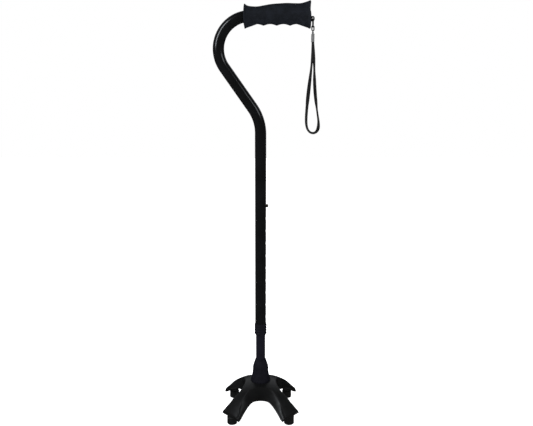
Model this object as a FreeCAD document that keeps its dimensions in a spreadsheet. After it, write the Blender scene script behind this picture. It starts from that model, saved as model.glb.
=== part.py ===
"""Quad walking cane: an offset-handle cane on a four-footed base, as separate pieces.

Millimetres, floor at Z = 0, +Z up, +X towards the tip of the handle. Every piece is drawn about
the axis of the straight tube, and its Placement moves that axis so that the origin is under the
middle of the cane.
"""

import FreeCAD, Part
import math
import os
import re

import Sketcher
from FreeCAD import Placement, Rotation, Vector

SIZES = {
    # where the tube's axis stands in the part's own frame
    "axis_x": -5.75,
    # outer tube with the offset neck
    "tube_r": 11.1,
    "bore_r": 9.6,
    "tube_end": 170.0,
    "low_bend_r": 86.5,
    "top_bend_r": 61.1,
    "lean": 35.2,
    "neck_x": -19.4,
    "handle_z": 792.7,
    "handle_tube_x": 84.0,
    # height holes and the snap button
    "hole_r": 3.6,
    "hole_pitch": 25.4,
    "button_z": 428.7,
    "button_r": 3.2,
    "button_tip": 15.7,
    "button_head_r": 4.4,
    # inner tube
    "inner_r": 9.525,
    "inner_bore_r": 8.325,
    "inner_low": 50.0,
    "inner_top": 468.0,
    # locking collar and the split bush that it squeezes
    "collar_low": 162.4,
    "collar_top": 186.4,
    "collar_r": 12.4,
    "collar_mouth_r": 9.9,
    "collar_pitch": 5.3,
    # rubber boot over the foot of the inner tube
    "boot_low": 67.3,
    "boot_top": 110.5,
    "boot_r": 15.6,
    "boot_foot_r": 20.3,
    # four-legged base
    "dome_r": 110.0,
    "dome_top": 67.5,
    "arm_reach": 89.0,
    "arm_turn": 3.0,
    "arm_half": 24.5,
    "arm_waist": 12.4,
    "notch_r": 26.0,
    "shell": 3.6,
    "bevel": 7.0,
    "foot_out": 80.0,
    "foot_r": 10.0,
    "foot_top": 21.5,
    "foot_neck_r": 8.4,
    "stud_r": 3.5,
    "stud_top": 23.8,
    # wrist strap and what it hangs from
    "hang_x": 99.4,
    "eyelet_z": 788.3,
    "ring_r": 7.95,
    "ring_wire_r": 1.0,
    "eye_r": 2.25,
    "eye_wire_r": 0.9,
    "strap_wide": 7.5,
    "strap_thick": 1.3,
    "crimp_top": 760.0,
    "crimp_low": 744.7,
}
HOLES = 10

doc = FreeCAD.newDocument("quad_cane")
sheet = doc.addObject("Spreadsheet::Sheet", "Sizes")
for row, (alias, number) in enumerate(SIZES.items(), 1):
    sheet.set(f"A{row}", alias)
    sheet.set(f"B{row}", str(number))
    sheet.setAlias(f"B{row}", alias)
doc.recompute()

pieces = []


def formula(text):
    """Puts the sheet's name before each of its aliases in a formula."""
    words = r"[a-z][a-z_]*"
    return re.sub(words, lambda m: "Sizes." + m.group() if m.group() in SIZES else m.group(), str(text))


def size(text):
    """The number that a formula of the sheet's aliases gives."""
    return float(sheet.evalExpression(formula(text)))


def keep(piece, label):
    """Names a finished piece and moves the tube's axis to its place."""
    piece.Label = label
    piece.setExpression("Placement.Base.x", formula("axis_x"))
    pieces.append(piece)
    return piece


# ---- helpers for sketched bodies -------------------------------------------------------------


def new_body(label):
    return doc.addObject("PartDesign::Body", label + "_body")


def new_sketch(body, plane):
    """A sketch on one of the body's own origin planes: XY_Plane, XZ_Plane or YZ_Plane."""
    sketch = body.newObject("Sketcher::SketchObject", body.Name + "_sketch")
    origin = next(o for o in body.Origin.OriginFeatures if o.Role == plane)
    sketch.AttachmentSupport = [(origin, "")]
    sketch.MapMode = "FlatFace"
    return sketch


def pin_point(sketch, line, x, y):
    """Holds the start point of a line at two formulas, measured from the sketch's origin."""
    for kind, text in (("DistanceX", x), ("DistanceY", y)):
        if abs(size(text)) < 1e-9:
            other = "DistanceX" if kind == "DistanceX" else "DistanceY"
            sketch.addConstraint(Sketcher.Constraint(other, -1, 1, line, 1, 0.0))
            continue
        at = sketch.addConstraint(Sketcher.Constraint(kind, -1, 1, line, 1, size(text)))
        sketch.setExpression(f"Constraints[{at}]", formula(text))


def draw_outline(sketch, corners):
    """A closed outline of straight edges through corners, each a pair of formulas."""
    places = [Vector(size(x), size(y), 0) for x, y in corners]
    first = sketch.GeometryCount
    count = len(corners)
    for i in range(count):
        sketch.addGeometry(Part.LineSegment(places[i], places[(i + 1) % count]), False)
    for i in range(count):
        end = Sketcher.Constraint("Coincident", first + i, 2, first + (i + 1) % count, 1)
        sketch.addConstraint(end)
    for i, (x, y) in enumerate(corners):
        pin_point(sketch, first + i, x, y)


def draw_circle(sketch, x, y, radius):
    line = sketch.addGeometry(Part.Circle(Vector(size(x), size(y), 0), Vector(0, 0, 1), size(radius)), False)
    for kind, text in (("DistanceX", x), ("DistanceY", y)):
        at = sketch.addConstraint(Sketcher.Constraint(kind, -1, 1, line, 3, size(text)))
        if size(text):
            sketch.setExpression(f"Constraints[{at}]", formula(text))
    at = sketch.addConstraint(Sketcher.Constraint("Radius", line, size(radius)))
    sketch.setExpression(f"Constraints[{at}]", formula(radius))


def turned(label, corners):
    """A body turned about the tube's axis from an outline of (radius, height) corners."""
    body = new_body(label)
    sketch = new_sketch(body, "XZ_Plane")
    draw_outline(sketch, corners)
    turn = body.newObject("PartDesign::Revolution", label + "_turn")
    turn.Profile = sketch
    turn.ReferenceAxis = (sketch, ["V_Axis"])
    turn.Angle = 360
    sketch.Visibility = False
    body.Tip = turn
    doc.recompute()
    return body


def cut_round(body, plane, x, y, radius, length, flip=False):
    """Pockets a round hole, and checks that it cut something."""
    before = body.Shape.Volume
    sketch = new_sketch(body, plane)
    draw_circle(sketch, x, y, radius)
    pocket = body.newObject("PartDesign::Pocket", body.Name + "_hole")
    pocket.Profile = sketch
    pocket.Length = size(length)
    pocket.setExpression("Length", formula(length))
    pocket.Reversed = flip
    body.Tip = pocket
    doc.recompute()
    if body.Shape.Volume > before - 1:
        raise RuntimeError(f"{body.Name}: a hole cut nothing")
    return pocket


# ---- helpers for shapes made directly --------------------------------------------------------


def shaped(label, shape):
    feature = doc.addObject("Part::Feature", label + "_solid")
    feature.Shape = shape
    return keep(feature, label)


def round_bar(radius, low, high, x=0.0, y=0.0):
    return Part.makeCylinder(radius, high - low, Vector(x, y, low))


def neck_path(extra=0.0):
    """The tube's centreline: up, back through the low bend, over the top bend and along the handle."""
    lean = math.radians(size("lean"))
    low_r, top_r = size("low_bend_r"), size("top_bend_r")
    top = Vector(size("neck_x"), 0, size("handle_z") - top_r)
    meet = top - Vector(math.cos(lean), 0, math.sin(lean)) * top_r
    corner_z = meet.z - (0 - meet.x) / math.tan(lean)
    tangent = low_r * math.tan(lean / 2)
    low = Vector(-low_r, 0, corner_z - tangent)

    def low_point(angle):
        return low + Vector(math.cos(angle), 0, math.sin(angle)) * low_r

    def top_point(angle):
        return top + Vector(-math.sin(angle), 0, math.cos(angle)) * top_r

    foot = Vector(0, 0, size("tube_end") - extra)
    crown = top_point(0)
    sweep = math.pi / 2 + lean
    tip = Vector(size("handle_tube_x") + extra, 0, crown.z)
    return Part.Wire(
        [
            Part.LineSegment(foot, low_point(0)).toShape(),
            Part.Arc(low_point(0), low_point(lean / 2), low_point(lean)).toShape(),
            Part.LineSegment(low_point(lean), top_point(sweep)).toShape(),
            Part.Arc(top_point(sweep), top_point(sweep / 2), crown).toShape(),
            Part.LineSegment(crown, tip).toShape(),
        ]
    )


def piped(path, radius):
    """A round solid of that radius along a path whose first run is vertical."""
    start = path.OrderedVertexes[0].Point
    circle = Part.Wire(Part.makeCircle(radius, start, Vector(0, 0, 1)))
    return path.makePipeShell([circle], True, False)


def oval(x, top, bottom, half_y):
    """A closed oval across the handle at x, between two heights."""
    middle, half_z = (top + bottom) / 2, (top - bottom) / 2
    square = 0.86
    points = []
    for i in range(24):
        angle = 2 * math.pi * i / 24
        c, s = math.cos(angle), math.sin(angle)
        y = half_y * math.copysign(abs(c) ** square, c)
        z = half_z * math.copysign(abs(s) ** square, s)
        points.append(Vector(x, y, middle + z))
    curve = Part.BSplineCurve()
    curve.interpolate(points, PeriodicFlag=True)
    return Part.Wire(curve.toShape())


def blended(points):
    """A function that gives the height of a smooth line through (x, z) points."""
    curve = Part.BSplineCurve()
    curve.interpolate([Vector(x, 0, z) for x, z in points])

    def height(x):
        plane = Part.Plane(Vector(x, 0, 0), Vector(1, 0, 0))
        return curve.intersect(plane)[0][0].Z

    return height


# ---- the upper half: tube, grip and end plug -------------------------------------------------


def upper_tube():
    """The outer tube, bent back and over the hand, with the height holes on its +X side."""
    body = new_body("upper_tube")
    path = new_sketch(body, "XZ_Plane")
    draw_neck(path)
    section = new_sketch(body, "XY_Plane")
    section.AttachmentOffset = Placement(Vector(0, 0, size("tube_end")), Rotation())
    section.setExpression("AttachmentOffset.Base.z", formula("tube_end"))
    draw_circle(section, "0", "0", "tube_r")
    draw_circle(section, "0", "0", "bore_r")
    pipe = body.newObject("PartDesign::AdditivePipe", "upper_tube_pipe")
    pipe.Profile = section
    pipe.Spine = path
    body.Tip = pipe
    doc.recompute()

    before = body.Shape.Volume
    holes = new_sketch(body, "YZ_Plane")
    draw_circle(holes, "0", f"button_z - {HOLES - 1} * hole_pitch", "hole_r")
    pocket = body.newObject("PartDesign::Pocket", "upper_tube_hole")
    pocket.Profile = holes
    pocket.Length = size("2 * tube_r")
    pocket.setExpression("Length", formula("2 * tube_r"))
    pocket.Reversed = True
    body.Tip = pocket
    doc.recompute()
    row = body.newObject("PartDesign::LinearPattern", "upper_tube_holes")
    row.Originals = [pocket]
    row.Direction = (holes, ["V_Axis"])
    row.Length = size("hole_pitch") * (HOLES - 1)
    row.setExpression("Length", formula(f"{HOLES - 1} * hole_pitch"))
    row.Occurrences = HOLES
    body.Tip = row
    doc.recompute()
    print("upper_tube: holes took", round(before - body.Shape.Volume, 1), "mm3")
    keep(body, "upper_tube")


def draw_neck(sketch):
    """The neck's centreline as a sketch held by its radii, its lean and its end points."""

    def flat(point):
        return Vector(point.x, point.z, 0)

    edges = neck_path().OrderedEdges
    for edge in edges:
        start, end = (flat(edge.valueAt(p)) for p in (edge.FirstParameter, edge.LastParameter))
        if isinstance(edge.Curve, Part.Circle):
            half = (edge.FirstParameter + edge.LastParameter) / 2
            sketch.addGeometry(Part.Arc(start, flat(edge.valueAt(half)), end), False)
        else:
            sketch.addGeometry(Part.LineSegment(start, end), False)

    def nearest_end(line, point):
        at = [(sketch.getPoint(line, pos) - point).Length for pos in (1, 2)]
        return 1 if at[0] < at[1] else 2

    for i in range(len(edges) - 1):
        joint = flat(edges[i].valueAt(edges[i].LastParameter))
        ends = nearest_end(i, joint), nearest_end(i + 1, joint)
        sketch.addConstraint(Sketcher.Constraint("Tangent", i, ends[0], i + 1, ends[1]))
    sketch.addConstraint(Sketcher.Constraint("Vertical", 0))
    sketch.addConstraint(Sketcher.Constraint("Horizontal", 4))

    def bound(constraint, text):
        at = sketch.addConstraint(constraint)
        sketch.setExpression(f"Constraints[{at}]", formula(text))

    sketch.addConstraint(Sketcher.Constraint("DistanceX", -1, 1, 0, 1, 0.0))
    bound(Sketcher.Constraint("DistanceY", -1, 1, 0, 1, size("tube_end")), "tube_end")
    bound(Sketcher.Constraint("Radius", 1, size("low_bend_r")), "low_bend_r")
    bound(Sketcher.Constraint("Radius", 3, size("top_bend_r")), "top_bend_r")
    bound(Sketcher.Constraint("DistanceX", -1, 1, 3, 3, size("neck_x")), "neck_x")
    bound(Sketcher.Constraint("DistanceY", -1, 1, 4, 2, size("handle_z")), "handle_z")
    bound(Sketcher.Constraint("DistanceX", -1, 1, 4, 2, size("handle_tube_x")), "handle_tube_x")


def grip_lines():
    """The handle's top and bottom lines, with the four finger hollows below."""
    palm = [(-8, 809.6), (20, 814.3), (48, 816.2), (70, 815.6)]
    top = blended([(-33, 817.5), (-24, 810.6), *palm, (84, 817.8), (95.5, 822)])
    hollow_pitch, first_hollow, last_hollow = 25.2, -7.0, 68.6
    floor, cusp = 778.4, 775.2

    def bottom(x):
        if x < first_hollow:
            reach = (first_hollow - x) / 26
            return floor - 8.0 * reach**1.5
        if x > last_hollow:
            reach = (x - last_hollow) / 27
            return floor - 8.4 * reach
        turn = (x - first_hollow) / hollow_pitch
        return floor - (floor - cusp) * abs(math.sin(math.pi * turn)) ** 1.4

    return top, bottom


def hand_grip():
    """The moulded rubber handle: a flange at each end and finger hollows below."""
    top, bottom = grip_lines()
    first, last, steps = -32.5, 95.0, 30
    end_half, flare_half, belly_half = 16.2, 2.6, 1.2
    left_flare, right_flare = 9.0, 11.0
    sections = []
    for i in range(steps + 1):
        x = first + (last - first) * i / steps
        flare = max(0.0, 1 - (x - first) / left_flare, 1 - (last - x) / right_flare)
        belly = math.sin(math.pi * (x - first) / (last - first))
        half_y = end_half + flare_half * flare**1.5 + belly_half * belly
        sections.append(oval(x, top(x), bottom(x), half_y))
    solid = Part.makeLoft(sections, True, False)
    past_ends, clear = 20.0, 0.05
    core = piped(neck_path(extra=past_ends), size("tube_r") + clear)
    shaped("hand_grip", solid.cut(core))


def grip_end_plug():
    """The plug in the handle's open end, with the strap's eyelet on its face."""
    tube_end, z = size("handle_tube_x"), size("handle_z")
    along = Vector(1, 0, 0)
    plug_long, head_long = 16.0, 9.5
    plug = Part.makeCylinder(size("bore_r"), plug_long, Vector(tube_end - plug_long, 0, z), along)
    head = Part.makeCylinder(size("tube_r"), head_long, Vector(tube_end, 0, z), along)
    hang_x, eyelet_z = size("hang_x"), size("eyelet_z")
    thick, reach, drop, rise, hole_r = 3.0, 3.2, 5.6, 4.4, 1.7
    side, across = -thick / 2, Vector(0, 1, 0)
    face, clear = tube_end + head_long, 1.6
    root_drop = 3.1
    root = Part.makeBox(clear + 1, thick, root_drop + rise, Vector(face - 1, side, eyelet_z - root_drop))
    tab = Part.makeBox(hang_x - face - clear, thick, drop + rise, Vector(face + clear, side, eyelet_z - drop))
    middle = Vector(hang_x, side, eyelet_z)
    nose = Part.makeCylinder(reach, thick, middle, across)
    cheek = Part.makeBox(reach, thick, drop, Vector(hang_x, side, eyelet_z - drop))
    cheek = cheek.common(Part.makeCylinder(drop, thick, middle, across))
    eyelet = Part.makeCylinder(hole_r, 2 * thick, Vector(hang_x, -thick, eyelet_z), across)
    plug = plug.fuse([head, root, tab, nose, cheek]).removeSplitter()
    shaped("grip_end_plug", plug.cut(eyelet))


# ---- the wrist strap and what it hangs from --------------------------------------------------


def split_ring():
    ring = doc.addObject("Part::Torus", "split_ring_wire")
    ring.setExpression("Radius1", formula("ring_r"))
    ring.setExpression("Radius2", formula("ring_wire_r"))
    middle = Vector(size("hang_x"), 0, size("eyelet_z - ring_r"))
    ring.Placement = Placement(middle, Rotation(Vector(0, 1, 0), 90))
    ring.Label = "split_ring"
    ring.setExpression("Placement.Base.x", formula("hang_x + axis_x"))
    pieces.append(ring)


def link_plate(radius, low, high, half_thick):
    """An upright oval plate across Y, its round ends centred at two heights under the ring."""
    x, across = size("hang_x"), Vector(0, 1, 0)
    plate = Part.makeBox(2 * radius, 2 * half_thick, high - low, Vector(x - radius, -half_thick, low))
    ends = [Part.makeCylinder(radius, 2 * half_thick, Vector(x, -half_thick, z), across) for z in (low, high)]
    return plate.fuse(ends).removeSplitter()


def swivel_eye():
    """A long oval link on the ring, with a bead and a shank that turns in the crimp."""
    x, wire, eye_r = size("hang_x"), size("eye_wire_r"), size("eye_r")
    top = size("eyelet_z - 2 * ring_r")
    low = top - 6.0
    link = link_plate(eye_r + wire, low, top, wire).cut(link_plate(eye_r - wire, low, top, 2 * wire))
    rims = [e for e in link.Edges if abs(abs(e.CenterOfMass.y) - wire) < 0.01]
    link = link.makeFillet(0.5 * wire, rims)
    crimp_top = size("crimp_top")
    shank_r, head_r, bead_r = 1.1, 2.0, 1.8
    head_low, head_top, bead_z = crimp_top - 3.4, crimp_top - 2.2, crimp_top + 1.9
    shank = round_bar(shank_r, head_low, low - eye_r, x)
    head = round_bar(head_r, head_low, head_top, x)
    bead = Part.makeSphere(bead_r, Vector(x, 0, bead_z))
    shaped("swivel_eye", link.fuse([shank, head, bead]).removeSplitter())


def strap_crimp():
    """The folded metal clip that holds both ends of the strap."""
    x, top, low = size("hang_x"), size("crimp_top"), size("crimp_low")
    wall, half_x, half_y, roof, corner_r, hole_r = 0.9, 2.9, 4.75, 1.2, 1.0, 1.4
    outer = Part.makeBox(2 * half_x, 2 * half_y, top - low, Vector(x - half_x, -half_y, low))
    upright = [e for e in outer.Edges if abs(e.tangentAt(e.FirstParameter).z) > 0.9]
    outer = outer.makeFillet(corner_r, upright)
    in_x, in_y = half_x - wall, half_y - wall
    inside = Part.makeBox(2 * in_x, 2 * in_y, top - low, Vector(x - in_x, -in_y, low - roof))
    shank_hole = round_bar(hole_r, top - 2 * roof, top + 1, x)
    shaped("strap_crimp", outer.cut(inside).cut(shank_hole))


STRAP_ROUTE = [
    (98.5, 752),
    (97.9, 713),
    (92.6, 653),
    (90.0, 614),
    (89.2, 592),
    (91.3, 579.5),
    (96.5, 571.8),
    (104.4, 570.6),
    (110.4, 576.8),
    (112.3, 591),
    (108.6, 615),
    (104.2, 655),
    (101.8, 708),
    (100.6, 752),
]


def wrist_strap():
    """A narrow flat strap hanging in a loop: straight runs joined by tangent arcs."""
    points = [Vector(x, 0, z) for x, z in STRAP_ROUTE]
    edges, at = [], points[0]
    for before, here, after in zip(points, points[1:], points[2:]):
        back, on = (before - here), (after - here)
        run = min(back.Length, on.Length)
        turn = math.pi - back.getAngle(on)
        reach = 0.45 * run
        radius = reach / math.tan(turn / 2)
        back.normalize()
        on.normalize()
        start, end = here + back * reach, here + on * reach
        inward = (back + on).normalize()
        middle = here + inward * (radius / math.cos(turn / 2) - radius)
        edges.append(Part.LineSegment(at, start).toShape())
        edges.append(Part.Arc(start, middle, end).toShape())
        print(f"strap arc {radius:.1f} mm, turn {math.degrees(turn):.0f}")
        at = end
    edges.append(Part.LineSegment(at, points[-1]).toShape())
    path = Part.Wire(edges)
    wide, thick = size("strap_wide"), size("strap_thick")
    along = points[1] - points[0]
    along.normalize()
    across = Vector(along.z, 0, -along.x)
    section = []
    for side_y, side_x in ((-1, -1), (1, -1), (1, 1), (-1, 1)):
        section.append(points[0] + Vector(0, side_y * wide / 2, 0) + across * (side_x * thick / 2))
    ring = Part.makePolygon(section + section[:1])
    strap = path.makePipeShell([ring], True, True)
    share = strap.Volume / (wide * thick * path.Length)
    print(f"strap length {path.Length:.1f} mm, volume over section times length {share:.4f}")
    shaped("wrist_strap", strap)


# ---- the inner tube, its button and the locking collar ---------------------------------------


def inner_tube():
    body = turned(
        "inner_tube",
        [
            ("inner_bore_r", "inner_low"),
            ("inner_r", "inner_low"),
            ("inner_r", "inner_top"),
            ("inner_bore_r", "inner_top"),
        ],
    )
    cut_round(body, "YZ_Plane", "0", "button_z", "button_r + 0.3", "2 * inner_r", flip=True)
    keep(body, "inner_tube")


def tube_bush():
    """The plastic cap in the top of the inner tube that stops it rattling."""
    lip, depth = 5.0, 14.0
    body = turned(
        "tube_bush",
        [
            ("0.6 * inner_bore_r", f"inner_top - {depth}"),
            ("inner_bore_r - 0.02", f"inner_top - {depth}"),
            ("inner_bore_r - 0.02", "inner_top"),
            ("bore_r - 0.05", "inner_top"),
            ("bore_r - 0.05", f"inner_top + {lip}"),
            ("0.6 * inner_bore_r", f"inner_top + {lip}"),
        ],
    )
    keep(body, "tube_bush")


def snap_button():
    """The sprung button: a domed pin with a head inside the inner tube's wall."""
    z, tip, radius = size("button_z"), size("button_tip"), size("button_r")
    out = Vector(1, 0, 0)
    head_back, head_front, rivet_r, rivet_long = 5.6, 7.0, 1.4, 1.4
    head = Part.makeCylinder(size("button_head_r"), head_front - head_back, Vector(head_back, 0, z), out)
    pin = Part.makeCylinder(radius, tip - head_back, Vector(head_back, 0, z), out)
    rim = [e for e in pin.Edges if abs(e.CenterOfMass.x - tip) < 0.01 and e.Closed]
    pin = pin.makeFillet(0.6 * radius, rim)
    rivet = Part.makeCylinder(rivet_r, rivet_long, Vector(head_back - rivet_long, 0, z), out)
    shaped("snap_button", pin.fuse([head, rivet]).removeSplitter())


def button_spring():
    """A strip of spring steel bent in a V, one leg behind the button and one on the far wall."""
    z, half_wide, strip = size("button_z"), 3.6, 0.7
    near, far, fold = 5.6, -7.2, z - 52.0
    outer = [
        Vector(near, 0, z + 6),
        Vector(near, 0, z - 8),
        Vector(1.2, 0, fold),
        Vector(-2.4, 0, fold),
        Vector(far, 0, z - 10),
        Vector(far, 0, z + 2),
    ]
    inner = [
        Vector(far + strip, 0, z + 2),
        Vector(far + strip, 0, z - 10),
        Vector(-2.0 + strip, 0, fold + strip),
        Vector(0.8 - strip * 0.4, 0, fold + strip),
        Vector(near - strip, 0, z - 8),
        Vector(near - strip, 0, z + 6),
    ]
    face = Part.Face(Part.makePolygon(outer + inner + outer[:1]))
    strip_solid = face.extrude(Vector(0, 2 * half_wide, 0))
    strip_solid.translate(Vector(0, -half_wide, 0))
    rivet_hole = Part.makeCylinder(1.5, 3.0, Vector(near - 2.0, 0, z), Vector(1, 0, 0))
    shaped("button_spring", strip_solid.cut(rivet_hole))


def locking_collar():
    """The ribbed nut at the mouth of the outer tube: four ribs, and a coned seat inside."""
    body = turned(
        "locking_collar",
        [
            ("collar_mouth_r", "collar_low"),
            ("collar_r - 1.6", "collar_low"),
            ("collar_r - 0.4", "collar_low + 2.2"),
            ("collar_r - 0.4", "collar_top"),
            ("tube_r + 0.06", "collar_top"),
            ("tube_r + 0.06", "tube_end - 4.4"),
            ("collar_mouth_r", "tube_end - 6.2"),
        ],
    )
    ribs = new_sketch(body, "XZ_Plane")
    rib, ribs_down = "collar_top - 2.8", 3
    draw_outline(
        ribs,
        [
            ("collar_r - 0.8", f"{rib} - 0.5 * collar_pitch"),
            ("collar_r", f"{rib} - 0.36 * collar_pitch"),
            ("collar_r", f"{rib} - 0.14 * collar_pitch"),
            ("collar_r - 0.8", rib),
        ],
    )
    turn = body.newObject("PartDesign::Revolution", "locking_collar_rib")
    turn.Profile = ribs
    turn.ReferenceAxis = (ribs, ["V_Axis"])
    turn.Angle = 360
    body.Tip = turn
    doc.recompute()
    row = body.newObject("PartDesign::LinearPattern", "locking_collar_ribs")
    row.Originals = [turn]
    row.Direction = (ribs, ["V_Axis"])
    row.Reversed = True
    row.Length = size(f"{ribs_down} * collar_pitch")
    row.setExpression("Length", formula(f"{ribs_down} * collar_pitch"))
    row.Occurrences = ribs_down + 1
    body.Tip = row
    doc.recompute()
    keep(body, "locking_collar")


def split_bush():
    """The nylon bush between the tubes at the collar, split down one side."""
    slit = 1.6
    body = turned(
        "split_bush",
        [
            ("inner_r + 0.05", "tube_end - 5.6"),
            ("inner_r + 0.6", "tube_end - 5.6"),
            ("tube_r - 0.3", "tube_end - 4.0"),
            ("tube_r - 0.3", "tube_end - 0.1"),
            ("inner_r + 0.05", "tube_end - 0.1"),
        ],
    )
    sketch = new_sketch(body, "YZ_Plane")
    half = str(slit / 2)
    draw_outline(
        sketch,
        [
            (f"-{half}", "tube_end - 7"),
            (half, "tube_end - 7"),
            (half, "tube_end + 1"),
            (f"-{half}", "tube_end + 1"),
        ],
    )
    cut = body.newObject("PartDesign::Pocket", "split_bush_slit")
    cut.Profile = sketch
    cut.Length = size("2 * tube_r")
    cut.setExpression("Length", formula("2 * tube_r"))
    body.Tip = cut
    doc.recompute()
    keep(body, "split_bush")


def boot():
    """The rubber boot that covers the joint between the inner tube and the base."""
    body = turned(
        "boot",
        [
            ("inner_r + 0.02", "boot_low"),
            ("boot_foot_r", "boot_low - 1.5"),
            ("boot_r + 2.7", "boot_low + 4.4"),
            ("boot_r + 1.5", "boot_low + 9.2"),
            ("boot_r + 0.5", "boot_low + 13.6"),
            ("boot_r - 0.2", "boot_low + 18.4"),
            ("boot_r - 0.3", "boot_low + 25.7"),
            ("boot_r - 0.9", "boot_low + 29.2"),
            ("boot_r - 2.8", "boot_low + 35.4"),
            ("boot_r - 5.0", "boot_top - 1.2"),
            ("boot_r - 5.4", "boot_top"),
            ("inner_r + 0.02", "boot_top"),
        ],
    )
    keep(body, "boot")


# ---- the base --------------------------------------------------------------------------------


def cross_prism(half, reach, notch, high):
    """An X of two waisted bars, turned a little from the diagonals, its inner corners rounded."""
    waist = half - size("arm_half - arm_waist") * reach / size("arm_reach")
    outline = [(-reach, -half), (0, -waist), (reach, -half), (reach, half), (0, waist), (-reach, half)]
    turn = size("arm_turn")
    solids = []
    for angle in (45 + turn, 135 - turn):
        corners = [Vector(x, y, 0) for x, y in outline]
        bar = Part.Face(Part.makePolygon(corners + corners[:1])).extrude(Vector(0, 0, high))
        bar.rotate(Vector(0, 0, 0), Vector(0, 0, 1), angle)
        solids.append(bar)
    cross = solids[0].fuse(solids[1]).removeSplitter()
    inner = []
    for edge in cross.Edges:
        upright = abs(edge.tangentAt(edge.FirstParameter).z) > 0.9
        if upright and math.hypot(edge.CenterOfMass.x, edge.CenterOfMass.y) < 1.5 * half:
            inner.append(edge)
    return cross.makeFillet(notch, inner)


def rim_cutter():
    """What lies under the base's rim, which falls from the notches to the leg ends."""
    crown_r, crown_z = 38.0, 35.8
    end_r, end_z = size("arm_reach"), 16.4
    middle = Vector(62.0, 0, 28.8)
    beyond, floor = 100.0, -1.0
    rise = Part.Arc(Vector(crown_r, 0, crown_z), middle, Vector(end_r, 0, end_z)).toShape()
    rest = Part.makePolygon(
        [
            Vector(end_r, 0, end_z),
            Vector(beyond, 0, end_z),
            Vector(beyond, 0, floor),
            Vector(0, 0, floor),
            Vector(0, 0, crown_z),
            Vector(crown_r, 0, crown_z),
        ]
    )
    face = Part.Face(Part.Wire(Part.sortEdges([rise, *rest.Edges])[0]))
    return face.revolve(Vector(0, 0, 0), Vector(0, 0, 1), 360)


def legs():
    """(side name, x, y) of each foot's centre, on the diagonals."""
    out = size("foot_out") * math.sqrt(0.5)
    return [
        ("front_left", -out, -out),
        ("front_right", out, -out),
        ("rear_left", -out, out),
        ("rear_right", out, out),
    ]


def legged_dome(radius, half, reach, notch):
    """A dome cut to the legs' outline, its long top edges bevelled into skirts."""
    centre = Vector(0, 0, size("dome_top - dome_r"))
    dome = Part.makeSphere(radius, centre).common(cross_prism(half, reach, notch, size("dome_top") + 5))
    cap = next(f for f in dome.Faces if isinstance(f.Surface, Part.Sphere))
    ridge = []
    for edge in cap.Edges:
        middle = edge.valueAt((edge.FirstParameter + edge.LastParameter) / 2)
        along = max(abs(middle.x + middle.y), abs(middle.x - middle.y)) * math.sqrt(0.5)
        if edge.Length > 1 and along < reach - 0.5:
            ridge.append(edge)
    return dome.makeChamfer(size("bevel"), ridge)


def quad_base():
    """The moulded base: a domed four-legged shell, open below, with a socket for the tube."""
    radius, top, shell = size("dome_r"), size("dome_top"), size("shell")
    half, reach, notch = size("arm_half"), size("arm_reach"), size("notch_r")
    dome = Part.makeSphere(radius, Vector(0, 0, top - radius))
    outer = legged_dome(radius, half, reach, notch)
    inner = legged_dome(radius - shell, half - shell, reach - shell, notch + shell)
    shell_solid = outer.cut(inner).cut(rim_cutter())

    socket_r, socket_low, socket_floor, bolt_hole_r = 14.0, 46.0, size("inner_low"), 4.3
    boss_r, foot_top, stud_top, clear = 8.6, size("foot_top"), size("stud_top"), 0.3
    solids = [round_bar(socket_r, socket_low, top - 1).common(dome)]
    cuts = [
        round_bar(size("inner_r") + 0.02, socket_floor, top + 5),
        round_bar(bolt_hole_r, socket_low - 1, socket_floor + 1),
    ]
    for _, x, y in legs():
        solids.append(round_bar(boss_r, foot_top, top, x, y).common(dome))
        cuts.append(round_bar(size("stud_r") + 0.02, foot_top - 1, stud_top, x, y))
        cuts.append(round_bar(size("foot_neck_r") + clear, 0, foot_top, x, y))
    base = shell_solid.fuse(solids).cut(Part.makeCompound(cuts)).removeSplitter()
    shaped("quad_base", base)


def tube_insert():
    """The threaded plug pressed into the foot of the inner tube."""
    thread_r, top = "4.05", "inner_low + 18"
    body = turned(
        "tube_insert",
        [
            (thread_r, "inner_low"),
            ("inner_bore_r - 0.01", "inner_low"),
            ("inner_bore_r - 0.01", top),
            (thread_r, top),
        ],
    )
    keep(body, "tube_insert")


WASHER_THICK = 1.6
HUB_FACE = size("inner_low") - 4.0


def hub_bolt():
    """The bolt that draws the inner tube down into the base."""
    head_high, head_r, shank_r, shank_long = 5.0, 7.2, 4.0, 18.0
    low = HUB_FACE - WASHER_THICK
    shank = round_bar(shank_r, low, HUB_FACE + shank_long)
    corners = []
    for angle in range(0, 361, 60):
        turn = math.radians(angle)
        corners.append(Vector(head_r * math.cos(turn), head_r * math.sin(turn), low - head_high))
    head = Part.Face(Part.makePolygon(corners)).extrude(Vector(0, 0, head_high))
    shaped("hub_bolt", shank.fuse(head).removeSplitter())


def hub_washer():
    outer_r, hole_r = 9.0, 4.3
    disc = round_bar(outer_r, HUB_FACE - WASHER_THICK, HUB_FACE)
    shaped("hub_washer", disc.cut(round_bar(hole_r, HUB_FACE - 3, HUB_FACE + 1)))


DISC_R, DISC_LOW, DISC_TOP = 7.0, 6.0, 7.6


def feet():
    """Four rubber tips: a tread, a rim, and a blind socket for the stud and its disc."""
    radius, neck_r, top = size("foot_r"), size("foot_neck_r"), size("foot_top")
    tread_top, rim_top, taper = 3.0, 13.0, 0.6
    neck_low = rim_top + radius - neck_r
    for name, x, y in legs():
        tread = Part.makeCone(radius - taper, radius, tread_top, Vector(x, y, 0))
        rim = round_bar(radius, tread_top, rim_top, x, y)
        shoulder = Part.makeCone(radius, neck_r, neck_low - rim_top, Vector(x, y, rim_top))
        neck = round_bar(neck_r, neck_low, top, x, y)
        foot = tread.fuse([rim, shoulder, neck]).removeSplitter()
        foot = foot.cut(round_bar(size("stud_r") + 0.02, DISC_LOW, top + 1, x, y))
        shaped("foot_" + name, foot.cut(round_bar(DISC_R, DISC_LOW, DISC_TOP, x, y)))


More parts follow.
